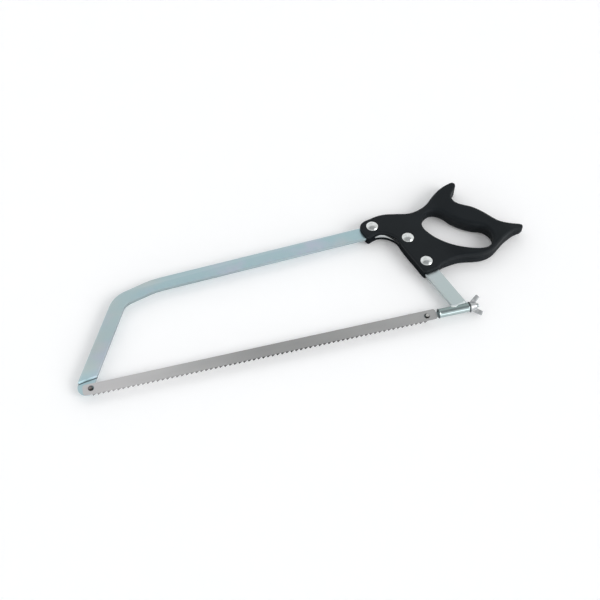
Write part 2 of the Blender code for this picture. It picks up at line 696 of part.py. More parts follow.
def handle_scale(name, side, look):
    """A scale on the bar's front (side 1) or back (side -1), with its half of the slot and screw seats."""
    rear = bow_corners()[3]
    mesh = scale_mesh()
    if side < 0:
        bmesh.ops.scale(mesh, vec=(1.0, 1.0, -1.0), verts=mesh.verts)
    scale = place(name, mesh, look, (*rear, 0.0))
    depth = BAR_HALF + CLEARANCE
    slot = strip(bow_line(), BAR_WIDTH / 2 + CLEARANCE)
    combine(scale, place(f"{name}_slot_cutter", prism(slot, -depth, depth)))
    for screw, point in screw_points().items():
        profile = (
            (0.0, -CUT_PAST),
            (BARREL_HOLE / 2, -CUT_PAST),
            (BARREL_HOLE / 2, HEAD_SEAT),
            (HEAD_HOLE / 2, HEAD_SEAT),
            (HEAD_HOLE / 2, HEAD_SEAT + CUT_PAST),
            (0.0, HEAD_SEAT + CUT_PAST),
        )
        seat = place(f"{name}_{screw}_seat_cutter", turned([(r, h * side) for r, h in profile]))
        seat.location = (*point, 0.0)
        combine(scale, seat)
    return scale


def dome(seat):
    """The head's profile from its rim to its crown, above its seat."""
    base = HEAD_DIAMETER / 2
    low = seat + HEAD_RIM
    sphere = (base**2 + HEAD_DOME**2) / (2 * HEAD_DOME)
    points = [(base, seat)]
    for k in range(DOME_RINGS + 1):
        radius = base * (1 - k / DOME_RINGS)
        points.append((radius, low + math.sqrt(sphere**2 - radius**2) - sphere + HEAD_DOME))
    return points


def barrel_nut(name, point, look):
    """A domed nut in front. Its bore takes the screw from behind."""
    seat = HEAD_SEAT + CLEARANCE
    barrel = BARREL_DIAMETER / 2
    bore = BARREL_BORE / 2
    floor = SCREW_REACH + CLEARANCE
    profile = [(0.0, floor), (bore, floor), (bore, -BARREL_DEPTH), (barrel, -BARREL_DEPTH), (barrel, seat)]
    return place(name, turned(profile + dome(seat)), look, (*point, 0.0))


def binding_screw(name, point, look):
    """A domed screw from behind, with a straight slot."""
    seat = HEAD_SEAT + CLEARANCE
    shank = SCREW_DIAMETER / 2
    profile = [(0.0, -SCREW_REACH), (shank, -SCREW_REACH), (shank, seat)] + dome(seat)
    screw = place(name, turned([(r, -h) for r, h in profile]), look, (*point, 0.0))
    crown = -seat - HEAD_RIM - HEAD_DOME
    half = SLOT_WIDTH / 2
    slot = block((-HEAD_DIAMETER, -half, crown - CUT_PAST), (HEAD_DIAMETER, half, crown + SLOT_DEPTH))
    combine(screw, place(f"{name}_slot_cutter", slot, location=screw.location))
    return screw


# Assembly

def lowest_and_highest(things):
    """Corners of the box round the finished shapes."""
    bpy.context.view_layer.update()
    graph = bpy.context.evaluated_depsgraph_get()
    corners = []
    for thing in things:
        done = thing.evaluated_get(graph)
        corners += [done.matrix_world @ Vector(corner) for corner in done.bound_box]
    low = [min(c[k] for c in corners) for k in range(3)]
    high = [max(c[k] for c in corners) for k in range(3)]
    return low, high


def assemble():
    clear_scene()
    dark = material("dark_pin_steel", (0.06, 0.06, 0.065), 0.45, 0.8)
    bright = material("bright_pin_steel", (0.45, 0.45, 0.46), 0.30, 0.95)
    plastic = material("black_plastic", (0.018, 0.020, 0.022), 0.42)
    nickel = material("nickel_plate", (0.66, 0.66, 0.66), 0.18, 1.0)
    pieces = [
        bow_frame(),
        blade(),
        blade_pin("front_blade_pin", 0.0, -BAR_HALF, dark),
        blade_pin("rear_blade_pin", PIN_SPAN, SEAT_LEVEL - TONGUE_THICKNESS, bright),
        tension_sleeve(),
        tension_spindle(),
        nut_washer(),
        wing_nut(),
        handle_scale("handle_front_scale", 1, plastic),
        handle_scale("handle_back_scale", -1, plastic),
    ]
    for name, point in screw_points().items():
        pieces.append(barrel_nut(f"{name}_barrel_nut", point, nickel))
        pieces.append(binding_screw(f"{name}_binding_screw", point, nickel))
    low, high = lowest_and_highest(pieces)
    root = bpy.data.objects.new("butcher_saw", None)
    bpy.context.scene.collection.objects.link(root)
    for thing in list(bpy.context.scene.collection.objects):
        if thing is not root:
            thing.parent = root
    root.location = (-(low[0] + high[0]) / 2, -(low[1] + high[1]) / 2, -low[2])


assemble()
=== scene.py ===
"""Looks of a butcher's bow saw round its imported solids: finer pieces, finishes, soft light and a camera."""

import math

import bmesh
import bpy
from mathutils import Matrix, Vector


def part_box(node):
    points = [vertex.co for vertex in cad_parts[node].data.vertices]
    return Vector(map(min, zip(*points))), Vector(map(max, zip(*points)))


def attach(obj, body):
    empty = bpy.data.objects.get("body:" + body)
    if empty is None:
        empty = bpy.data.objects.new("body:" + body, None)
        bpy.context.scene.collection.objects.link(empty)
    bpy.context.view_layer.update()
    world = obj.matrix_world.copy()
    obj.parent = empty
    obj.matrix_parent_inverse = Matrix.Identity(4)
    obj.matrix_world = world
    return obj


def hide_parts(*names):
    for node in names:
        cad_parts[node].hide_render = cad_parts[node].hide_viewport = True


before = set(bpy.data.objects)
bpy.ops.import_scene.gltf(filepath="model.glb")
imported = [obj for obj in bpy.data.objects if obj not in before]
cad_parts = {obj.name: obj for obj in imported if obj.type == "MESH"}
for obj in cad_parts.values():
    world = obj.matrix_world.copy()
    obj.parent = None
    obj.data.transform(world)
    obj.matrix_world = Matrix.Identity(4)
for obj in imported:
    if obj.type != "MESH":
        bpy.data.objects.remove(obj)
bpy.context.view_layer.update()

MM = 0.001
X_AXIS = Vector((1.0, 0.0, 0.0))
Z_AXIS = Vector((0.0, 0.0, 1.0))


def middle(node):
    low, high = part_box(node)
    return (low + high) / 2


# The saw's own plane starts at the front pin: X along the blade, Y to the bar, Z out of the front face
FRONT_PIN = Vector((*middle("front_blade_pin").xy, middle("bow_frame").z))
REAR_PIN = Vector((*middle("rear_blade_pin").xy, FRONT_PIN.z))

# Bow's centre line in that plane: front foot, front corner, shoulder, rear corner and rear foot
BOW_LINE = ((-0.0078, 0.0), (0.0557, 0.1246), (0.1047, 0.1387), (0.4510, 0.1572), (0.4990, 0.0))
LEG_LEAN = math.radians(17.0)
BEND_CENTRE = (0.4233, 0.1176)  # of the bar's inner edge at the rear corner, bared in the handle's notch
NOTCH_HIGHLIGHT_REACH = (0.0282, 0.0287)  # the painted highlight on the bared edge ends between these reaches from that centre
NOTCH_SLANT = 0.36  # of the painted shadow lines of the moulding's two lips across the bared edge
# Heights, on that slant, over which the painted shadow of each lip comes in
NOTCH_FRONT_LIP_SHADOW = (0.0007, 0.0014)
NOTCH_REAR_LIP_SHADOW = (0.0059, 0.0067)
WELD_LINE = (  # the bead's crest, from the front to the back
    (0.4852, 0.0026, 0.0050),
    (0.4898, 0.0022, 0.0052),
    (0.4962, 0.0058, 0.0027),
    (0.5050, 0.0082, 0.0024),
)
WELD_RIPPLES = 7  # to each stretch of that line
WELD_RADIUS = 0.0016
WELD_BACK_LUMPS = 15  # along the leg's back face
BAR_WIDTH = 0.020
BAR_HALF = 0.0025
EYE_SHOULDER = (0.0, 0.0122)
EYE_SHOULDER_TILT = math.radians(10.0)
EYE_WALL_LEAN = 0.5  # back from the blade, for each unit of height
EYE_SEAT = -0.0007
EYE_GROOVE = 0.0006  # radius of the relief left along the wall's foot
GULLET_DEPTH = 0.0089  # from the front pin down to the tooth gullets
BLADE_SLOPE = 0.0040  # rise of the blade's edges over the pins' line
TOOTH_PITCH = 0.0063
FIRST_TOOTH = 0.003  # from the front pin
TOOTH_SET = 0.00022
THREAD_PITCH = 0.001
HEAD_RISE = 0.0032  # of a screw head's dome, whose edge dips into its seat
HEAD_RIM = 0.0004

# Stretches of the saw, from the front pin, over which a finish, its painted shade or its painted highlight
# changes
BAR_GREYS = (0.40, 0.46)
BAR_WALL_SHADE_EASES = (0.15, 0.30)
BLADE_FRONT_SHEEN = (0.012, 0.150)
BLADE_SHADE_DEEPENS = (0.075, 0.26)
BLADE_SHADE_EASES = (0.30, 0.42)
TIPS_DARKEN = (0.06, 0.22)
TIPS_FADE = (0.28, 0.43)

# Camera from the front pin, lamp and room
CAMERA_PLACE = (0.09726, -0.69631, 1.12519)
CAMERA_AIM = (0.29185, 0.06716, 0.0)
CAMERA_LENS = 61.2
LAMP_PLACE = (2.7, -2.1, 2.3)
LAMP_ENERGY = 1.1
LAMP_ANGLE = math.radians(32.0)
ROOM_BACK = (0.247, 0.969)  # the camera's way over the floor
CEILING_WAY = (0.990, 0.139)  # up, and forwards from behind


def at(x, y, z=0.0):
    return FRONT_PIN + Vector((x, y, z))


def along_saw(stretch):
    """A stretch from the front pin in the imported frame's X."""
    return [at(reach, 0.0).x for reach in stretch]


# Hand tools

def pick(thing):
    """Leaves only this object selected and active."""
    bpy.ops.object.select_all(action="DESELECT")
    thing.select_set(True)
    bpy.context.view_layer.objects.active = thing


def open_up(thing, mode="VERT"):
    pick(thing)
    bpy.ops.object.mode_set(mode="EDIT")
    bpy.ops.mesh.select_mode(type=mode)
    bpy.ops.mesh.select_all(action="SELECT")


def close_up():
    bpy.ops.object.mode_set(mode="OBJECT")


def choose(thing, kind, test):
    """Selects only the vertices, edges or faces that pass a test, in edit mode. Returns how many."""
    bpy.ops.mesh.select_all(action="DESELECT")
    mesh = bmesh.from_edit_mesh(thing.data)
    found = [part for part in getattr(mesh, kind) if test(part)]
    for part in found:
        part.select_set(True)
    mesh.select_flush_mode()
    bmesh.update_edit_mesh(thing.data)
    return len(found)


def work(thing, kind, **settings):
    """Adds a modifier, sets it and applies it."""
    pick(thing)
    bpy.ops.object.modifier_add(type=kind)
    made = thing.modifiers[-1]
    for key, value in settings.items():
        setattr(made, key, value)
    bpy.ops.object.modifier_apply(modifier=made.name)


def remesh(thing, voxel):
    pick(thing)
    thing.data.remesh_voxel_size = voxel
    bpy.ops.object.voxel_remesh()


def smooth(thing, angle=35.0, flats=False):
    """Smooth shading up to an angle. With flats, wide faces keep their flat look."""
    pick(thing)
    bpy.ops.object.shade_smooth_by_angle(angle=math.radians(angle))
    if flats:
        work(thing, "WEIGHTED_NORMAL", keep_sharp=True, weight=100)


def settle(thing):
    """Puts the object's place into its mesh."""
    pick(thing)
    bpy.ops.object.transform_apply(location=True, rotation=True, scale=True)


def copy_of(node, name):
    """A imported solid's mesh as a piece of its own, its loose triangles joined and its flats made whole."""
    thing = bpy.data.objects.new(name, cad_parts[node].data.copy())
    bpy.context.scene.collection.objects.link(thing)
    open_up(thing)
    bpy.ops.mesh.customdata_custom_splitnormals_clear()
    bpy.ops.mesh.remove_doubles(threshold=0.002 * MM)
    bpy.ops.mesh.dissolve_limited(angle_limit=math.radians(0.5))
    close_up()
    return thing


def turned(name, foot, axis, profile, hollow=False, sides=72):
    """A circle drawn up ring by ring, by radius and height on an axis. A hollow one closes on itself."""
    turn = axis.to_track_quat("Z", "Y").to_euler()
    radius, height = profile[0]
    bpy.ops.object.select_all(action="DESELECT")
    bpy.ops.mesh.primitive_circle_add(
        vertices=sides,
        radius=radius,
        fill_type="NOTHING" if hollow else "NGON",
        location=foot + axis * height,
        rotation=turn,
    )
    thing = bpy.context.object
    thing.name = name
    settle(thing)
    open_up(thing)
    for wider, higher in profile[1:] + (profile[:1] if hollow else []):
        bpy.ops.mesh.extrude_region_move(TRANSFORM_OT_translate={"value": axis * (higher - height)})
        share = wider / radius
        centre = foot + axis * higher
        bpy.ops.transform.resize(value=(share, share, share), center_override=centre)
        radius, height = wider, higher
    bpy.ops.mesh.select_all(action="SELECT")
    bpy.ops.mesh.remove_doubles(threshold=0.001 * MM)
    bpy.ops.mesh.normals_make_consistent(inside=False)
    close_up()
    return thing


def dress(thing, body, slot, finish, *nodes):
    """The piece rides on a body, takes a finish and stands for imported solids."""
    thing.data.materials.clear()
    thing.data.materials.append(finish)
    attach(thing, body)
    if nodes:
        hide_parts(*nodes)
    return thing


# Finishes

class Wire:
    """A socket in a node tree. Sums on it add Math nodes, and node() adds any other kind."""

    def __init__(self, tree, socket=None):
        self.tree = tree
        self.socket = socket

    def node(self, kind, settings=None, links=None, out=0):
        made = self.tree.nodes.new(kind)
        for key, value in (settings or {}).items():
            setattr(made, key, value)
        for key, value in (links or {}).items():
            if isinstance(value, Wire):
                self.tree.links.new(value.socket, made.inputs[key])
            else:
                made.inputs[key].default_value = value
        return Wire(self.tree, made.outputs[out])

    def maths(self, operation, first, second):
        return self.node("ShaderNodeMath", {"operation": operation}, {0: first, 1: second})

    def __add__(self, other):
        return self.maths("ADD", self, other)

    def __radd__(self, other):
        return self.maths("ADD", other, self)

    def __sub__(self, other):
        return self.maths("SUBTRACT", self, other)

    def __rsub__(self, other):
        return self.maths("SUBTRACT", other, self)

    def __mul__(self, other):
        return self.maths("MULTIPLY", self, other)

    def __rmul__(self, other):
        return self.maths("MULTIPLY", other, self)


def paint(red, green, blue):
    """A colour as read off a screen, 0 to 255, in the shader's own scale."""
    def linear(value):
        share = value / 255
        return share / 12.92 if share <= 0.04045 else ((share + 0.055) / 1.055) ** 2.4
    return (linear(red), linear(green), linear(blue), 1.0)


def stretched(coords, scale, shift=(0.0, 0.0, 0.0)):
    return coords.node("ShaderNodeMapping", links={"Vector": coords, "Location": shift, "Scale": scale})


def noise(coords, scale, detail=3.0, roughness=0.5):
    links = {"Vector": coords, "Scale": scale, "Detail": detail, "Roughness": roughness}
    return coords.node("ShaderNodeTexNoise", {"noise_dimensions": "3D"}, links)


def step(value, low, high, start=0.0, end=1.0):
    """A soft step from start to end as the value goes from low to high."""
    links = {"Value": value, "From Min": low, "From Max": high, "To Min": start, "To Max": end}
    return value.node("ShaderNodeMapRange", {"interpolation_type": "SMOOTHSTEP"}, links)


def blend(share, first, second):
    settings = {"data_type": "RGBA"}
    return share.node("ShaderNodeMix", settings, {0: share, 6: first, 7: second}, out=2)


def shade(colour, factor):
    """A colour made darker or lighter all channels alike by a factor."""
    grey = factor.node("ShaderNodeCombineXYZ", links={0: factor, 1: factor, 2: factor})
    return factor.node("ShaderNodeVectorMath", {"operation": "MULTIPLY"}, {0: colour, 1: grey})


def finish(name, **constants):
    """A new finish: the material, its shader, and its object coordinates."""
    made = bpy.data.materials.new(name)
    made.use_nodes = True
    shader = made.node_tree.nodes["Principled BSDF"]
    for key, value in constants.items():
        shader.inputs[key.replace("_", " ")].default_value = value
    coords = Wire(made.node_tree).node("ShaderNodeTexCoord", out="Object")
    return made, shader, coords


def connect(shader, **links):
    for key, wire in links.items():
        wire.tree.links.new(wire.socket, shader.inputs[key.replace("_", " ")])


def bump(height, distance, strength=1.0):
    return height.node("ShaderNodeBump", links={"Height": height, "Distance": distance, "Strength": strength})


def parts_of(coords):
    return [coords.node("ShaderNodeSeparateXYZ", links={0: coords}, out=k) for k in range(3)]


def zinc_bar_finish():
    """Blue-passivated zinc on drawn steel: lines along the bar, colour clouds, worn edges with a painted
    highlight, painted shade on the walls, round the pin and in the eye's crease, and a painted highlight and
    shadow in the notch.
    """
    made, shader, coords = finish("zinc_bar", Metallic=1.0)
    along = coords.node("ShaderNodeUVMap", {"uv_map": "along"})
    lines = noise(stretched(along, (26.0, 1500.0, 1.0)), 1.0, 4.0, 0.6)
    fine = noise(stretched(along, (90.0, 5200.0, 1.0)), 1.0, 2.0)
    clouds = noise(coords, 17.0, 3.0, 0.55)
    drift = noise(stretched(coords, (9.0, 16.0, 16.0), (3.1, 1.7, 0.4)), 1.0, 2.0)
    specks = noise(coords, 900.0, 2.0)
    across = parts_of(along)[1]
    off = across.node("ShaderNodeMath", {"operation": "ABSOLUTE"}, {0: across})
    # Edges lightened both as wear and as a painted highlight on their rounding
    edge = step(off, 8.2 * MM, 9.8 * MM)
    teal = paint(168, 193, 199)
    lilac = paint(184, 192, 206)
    straw = paint(190, 196, 192)
    colour = blend(step(clouds, 0.48, 0.74), teal, lilac)
    colour = blend(step(drift, 0.50, 0.72) * 0.7, colour, straw)
    colour = blend(edge * 0.45, colour, paint(190, 203, 207))
    x, y, z = parts_of(coords)
    colour = blend(step(x, *along_saw(BAR_GREYS)) * 0.55, colour, paint(200, 204, 200))
    from_bend = stretched(coords, (1.0, 1.0, 0.0), [-value for value in (*at(*BEND_CENTRE).xy, 0.0)])
    bend = coords.node("ShaderNodeVectorMath", {"operation": "LENGTH"}, {0: from_bend}, out="Value")
    notch_highlight = step(bend, *NOTCH_HIGHLIGHT_REACH, 1.0, 0.0)
    slant = (x - at(*BEND_CENTRE).x) * NOTCH_SLANT
    lift = z - FRONT_PIN.z
    lip_shadow = step(lift + slant, *NOTCH_REAR_LIP_SHADOW) + step(lift - slant, *NOTCH_FRONT_LIP_SHADOW)
    # Painted highlight on the bar's edge bared in the notch, and painted shadow where the moulding's lips
    # close over it
    colour = blend(notch_highlight * 0.8, colour, paint(234, 237, 237))
    colour = blend(notch_highlight * lip_shadow * 0.97, colour, paint(10, 12, 13))
    from_pin = stretched(coords, (1.0, 1.0, 0.0), (-FRONT_PIN.x, -FRONT_PIN.y, 0.0))
    reach = coords.node("ShaderNodeVectorMath", {"operation": "LENGTH"}, {0: from_pin}, out="Value")
    foot = at(*EYE_SHOULDER, EYE_SEAT)
    out = (y - foot.y) * math.cos(EYE_SHOULDER_TILT) - (x - foot.x) * math.sin(EYE_SHOULDER_TILT)
    crease = out.node("ShaderNodeCombineXYZ", links={0: out, 1: z - foot.z})
    depth = crease.node("ShaderNodeVectorMath", {"operation": "LENGTH"}, {0: crease}, out="Value")
    # Painted shade in the gap round the front pin and in the groove along the eye wall's foot, which is also
    # rougher there
    recess_shade = step(reach, 4.0 * MM, 4.8 * MM, 0.62, 0.0) + step(depth, 0.7 * MM, 1.0 * MM, 0.70, 0.0)
    tone = 0.98 + 0.09 * lines + 0.05 * fine - step(specks, 0.66, 0.78) * 0.06 - recess_shade
    tone = tone + step(reach, 12.0 * MM, 55.0 * MM, 0.14, 0.0)
    # Painted shade on the bar's side walls, stronger towards the front
    wall = step(off, 9.4 * MM, 9.8 * MM) * step(z, FRONT_PIN.z + 1.7 * MM, FRONT_PIN.z + 2.2 * MM, 1.0, 0.0)
    tone = tone - wall * step(x, *along_saw(BAR_WALL_SHADE_EASES), 0.30, 0.10)
    connect(
        shader,
        Base_Color=shade(colour, tone),
        Roughness=0.27 + 0.10 * lines + 0.06 * clouds - 0.05 * edge + 0.3 * recess_shade,
        Normal=bump(lines + 0.5 * fine, 0.02 * MM, 0.5),
    )
    return made


def blade_steel_finish():
    """Rolled spring steel: lines along the blade, a painted reflection lightening its front and painted shade
    darkening its middle, and teeth with dark, hardened tips.
    """
    made, shader, coords = finish("blade_steel", Metallic=1.0)
    x, y, _ = parts_of(coords)
    lines = noise(stretched(coords, (30.0, 2600.0, 2600.0)), 1.0, 4.0, 0.6)
    clouds = noise(stretched(coords, (13.0, 40.0, 40.0)), 1.0, 3.0)
    specks = noise(coords, 1100.0, 2.0)
    from_pin = x - FRONT_PIN.x
    above = y - (FRONT_PIN.y - GULLET_DEPTH) - from_pin * BLADE_SLOPE
    heat = step(from_pin, *TIPS_DARKEN, 0.42, 0.75) - step(from_pin, *TIPS_FADE) * 0.33
    burnt = step(above, 0.2 * MM, -1.5 * MM) * heat
    colour = blend(step(clouds, 0.35, 0.70), paint(186, 186, 186), paint(194, 194, 193))
    # Painted reflection: lighter towards the front pin
    colour = blend(step(from_pin, *BLADE_FRONT_SHEEN, 0.7, 0.0), colour, paint(210, 208, 209))
    # Painted shade: darker over the middle, easing a little towards the back
    mid_shade = step(from_pin, *BLADE_SHADE_DEEPENS) * 0.33 - step(from_pin, *BLADE_SHADE_EASES) * 0.12
    tone = 0.97 + 0.12 * lines - step(specks, 0.64, 0.76) * 0.08 - mid_shade - burnt
    connect(
        shader,
        Base_Color=shade(colour, tone),
        Roughness=0.30 + 0.12 * lines + 0.08 * clouds,
        Normal=bump(lines, 0.015 * MM, 0.5),
    )
    return made


def turned_finish(name, centre, light, dark, roughness):
    """Turned steel: rings left by the tool round a pin's axis, handling marks and painted shade darkening the
    flank.
    """
    made, shader, coords = finish(name, Metallic=1.0)
    across = stretched(coords, (1.0, 1.0, 0.0), (-centre.x, -centre.y, 0.0))
    reach = across.node("ShaderNodeVectorMath", {"operation": "LENGTH"}, {0: across}, out="Value")
    spun = reach.node("ShaderNodeCombineXYZ", links={0: reach})
    rings = noise(spun, 3800.0, 2.0)
    marks = noise(coords, 420.0, 4.0, 0.6)
    colour = blend(step(marks, 0.36, 0.66), dark, light)
    # Painted shade on the pin's flank
    flank_shade = step(reach, 1.9 * MM, 2.5 * MM, 0.0, 0.62)
    connect(
        shader,
        Base_Color=shade(colour, 0.85 + 0.25 * rings - flank_shade),
        Roughness=roughness + 0.15 * marks,
        Normal=bump(rings, 0.03 * MM, 0.6),
    )
    return made


def zinc_tube_finish():
    """Bright zinc on drawn tube: lines along it, bands round it, a darker mouth and a painted dark reflection
    along one side.
    """
    made, shader, coords = finish("zinc_tube", Metallic=1.0)
    lines = noise(stretched(coords, (60.0, 3000.0, 3000.0)), 1.0, 4.0, 0.6)
    bands = noise(stretched(coords, (900.0, 6.0, 6.0)), 1.0, 3.0)
    clouds = noise(coords, 120.0, 3.0)
    x, y, _ = parts_of(coords)
    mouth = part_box("tension_sleeve")[0].x
    # Darker and rougher at the mouth
    dark_mouth = step(x, mouth + 0.25 * MM, mouth + 0.80 * MM, 1.0, 0.0)
    # Painted reflection: a darker band along one side of the tube
    dark_reflection = step(y, FRONT_PIN.y - 2.2 * MM, FRONT_PIN.y + 0.3 * MM)
    colour = blend(step(clouds, 0.30, 0.75), paint(174, 190, 190), paint(186, 199, 200))
    colour = blend(dark_reflection * 0.85, colour, paint(138, 154, 152))
    colour = blend(dark_mouth, colour, paint(84, 92, 94))
    connect(
        shader,
        Base_Color=shade(colour, 0.92 + 0.08 * lines + 0.06 * bands),
        Roughness=0.07 + 0.04 * lines + 0.03 * clouds + 0.25 * dark_mouth,
        Normal=bump(lines + 0.4 * bands, 0.003 * MM, 0.4),
    )
    return made


def zinc_spindle_finish():
    """Zinc on the forged spindle: rings round its rod, soft clouds, and painted shade round the pin."""
    made, shader, coords = finish("zinc_spindle", Metallic=1.0)
    rings = noise(stretched(coords, (2400.0, 40.0, 40.0)), 1.0, 3.0)
    clouds = noise(coords, 160.0, 3.0)
    colour = blend(step(clouds, 0.35, 0.70), paint(168, 180, 182), paint(196, 203, 204))
    from_pin = stretched(coords, (1.0, 1.0, 0.0), (-REAR_PIN.x, -REAR_PIN.y, 0.0))
    reach = coords.node("ShaderNodeVectorMath", {"operation": "LENGTH"}, {0: from_pin}, out="Value")
    # Painted shade in the gap round the rear pin
    recess_shade = step(reach, 4.4 * MM, 5.2 * MM, 0.68, 0.0)
    connect(
        shader,
        Base_Color=shade(colour, 0.90 + 0.16 * rings - recess_shade),
        Roughness=0.22 + 0.14 * rings + 0.06 * clouds,
        Normal=bump(rings, 0.02 * MM, 0.5),
    )
    return made


def washer_finish():
    """Dull punched steel in darker and lighter clouds."""
    made, shader, coords = finish("washer_steel", Metallic=1.0)
    grit = noise(coords, 1300.0, 4.0, 0.65)
    clouds = noise(coords, 210.0, 3.0)
    colour = blend(step(clouds, 0.32, 0.68), paint(92, 95, 97), paint(132, 136, 138))
    connect(
        shader,
        Base_Color=shade(colour, 0.84 + 0.26 * grit),
        Roughness=0.38 + 0.18 * grit,
        Normal=bump(grit, 0.03 * MM, 0.5),
    )
    return made


def cast_zinc_finish(name, light, dark, grain):
    """Zinc-plated casting or weld: soft pits and an uneven shine."""
    made, shader, coords = finish(name, Metallic=1.0)
    pits = noise(coords, grain, 5.0, 0.6)
    lumps = noise(coords, grain / 5, 3.0)
    colour = blend(step(lumps, 0.34, 0.68), dark, light)
    connect(
        shader,
        Base_Color=shade(colour, 0.88 + 0.22 * pits),
        Roughness=0.30 + 0.22 * pits,
        Normal=bump(pits + lumps, 0.05 * MM, 0.5),
    )
    return made


def black_plastic_finish():
    """Moulded black plastic: a fine satin grain, flow clouds, dull scuffs from handling, and walls and the
    grip's top mixed towards a matt shader darkened as painted shade.
    """
    made, shader, coords = finish("black_plastic", IOR=1.48)
    shader.inputs["Specular IOR Level"].default_value = 0.22
    grain = noise(coords, 2600.0, 2.0, 0.55)
    clouds = noise(coords, 34.0, 4.0, 0.6)
    scuffs = noise(stretched(coords, (260.0, 900.0, 400.0)), 1.0, 5.0, 0.7)
    worn = step(scuffs, 0.60, 0.78)
    colour = blend(step(clouds, 0.30, 0.72), paint(14, 20, 24), paint(19, 25, 29))
    colour = blend(worn * 0.30, colour, paint(44, 48, 51))
    relief = bump(grain, 0.03 * MM, 0.45)
    connect(
        shader,
        Base_Color=colour,
        Roughness=0.48 + 0.10 * clouds + 0.10 * worn + 0.06 * grain,
        Normal=relief,
    )
    tree = made.node_tree
    # A matt shader whose darkened base colour is painted shade
    matt = {
        "Base Color": shade(colour, 0.6 + 0.1 * clouds),
        "Roughness": 0.8,
        "Specular IOR Level": 0.04,
        "Normal": relief,
    }
    dull_and_shaded = coords.node("ShaderNodeBsdfPrincipled", links=matt)
    x, _, z = parts_of(coords)
    heel = middle("heel_barrel_nut").x
    # Painted shade with matt: the walls, less behind the heel nut, and the grip's top take it
    wall = step(z, FRONT_PIN.z + 3.0 * MM, FRONT_PIN.z + 7.0 * MM, 0.85, 0.0)
    wall = wall * step(x, heel + 4.0 * MM, heel + 20.0 * MM, 1.0, 0.25)
    grip_top_shade = step(z, FRONT_PIN.z + 8.7 * MM, FRONT_PIN.z + 10.2 * MM, 0.0, 0.2)
    satin = Wire(tree, shader.outputs[0])
    both = coords.node("ShaderNodeMixShader", links={0: wall + grip_top_shade, 1: satin, 2: dull_and_shaded})
    tree.links.new(both.socket, tree.nodes["Material Output"].inputs["Surface"])
    return made


def nickel_finish():
    """Polished nickel plate: faint polishing hairlines and a little tarnish."""
    made, shader, coords = finish("nickel_plate", Metallic=1.0)
    hairs = noise(stretched(coords, (900.0, 4200.0, 900.0)), 1.0, 4.0, 0.65)
    tarnish = noise(coords, 190.0, 4.0, 0.6)
    colour = blend(step(tarnish, 0.40, 0.72), paint(226, 229, 229), paint(206, 209, 206))
    connect(
        shader,
        Base_Color=shade(colour, 0.95 + 0.07 * hairs),
        Roughness=0.12 + 0.10 * hairs + 0.08 * tarnish,
        Normal=bump(hairs, 0.006 * MM, 0.4),
    )
    return made


# Bow

def lay_along(thing):
    """A UV map in metres for the drawing lines: along the bow's centre line, and out from it."""
    corners = [Vector(corner) for corner in BOW_LINE]
    lengths = [0.0]
    for first, second in zip(corners, corners[1:]):
        lengths.append(lengths[-1] + (second - first).length)
    layer = thing.data.uv_layers.new(name="along")
    for loop in thing.data.loops:
        place = (thing.data.vertices[loop.vertex_index].co - FRONT_PIN).xy
        found = []
        for k, (first, second) in enumerate(zip(corners, corners[1:])):
            run = second - first
            share = min(1.0, max(0.0, (place - first).dot(run) / run.length_squared))
            off = place - (first + run * share)
            out = off.dot(run.orthogonal().normalized())
            found.append((off.length, lengths[k] + share * run.length, out))
        layer.data[loop.index].uv = min(found)[1:]


def bow_bar():
    """The bent bar. The step down to the blade's seat is pressed, so its wall leans back from the blade."""
    bar = copy_of("bow_frame", "bow_bar")
    across = Vector((-math.sin(EYE_SHOULDER_TILT), math.cos(EYE_SHOULDER_TILT), 0.0))
    start = at(*EYE_SHOULDER)
    wall = [
        vert.co.z
        for vert in bar.data.vertices
        if abs((vert.co - start).dot(across)) < 0.02 * MM
    ]
    open_up(bar)
    for height in sorted({round(z / MM, 3) * MM for z in wall}):
        def on_wall(vert):
            level = abs(vert.co.z - height) < 0.002 * MM
            return level and abs((vert.co - start).dot(across)) < 0.02 * MM
        choose(bar, "verts", on_wall)
        bpy.ops.transform.translate(value=across * (height - min(wall)) * EYE_WALL_LEAN)
    close_up()
    bpy.ops.object.select_all(action="DESELECT")
    bpy.ops.mesh.primitive_cylinder_add(
        vertices=24,
        radius=EYE_GROOVE,
        depth=2 * BAR_WIDTH,
        location=at(*EYE_SHOULDER, EYE_SEAT),
        rotation=(0.0, math.pi / 2, EYE_SHOULDER_TILT),
    )
    cutter = bpy.context.object
    settle(cutter)
    work(bar, "BOOLEAN", operation="DIFFERENCE", object=cutter, solver="EXACT")
    bpy.data.objects.remove(cutter)
    lay_along(bar)
    smooth(bar, 30.0, flats=True)
    return bar


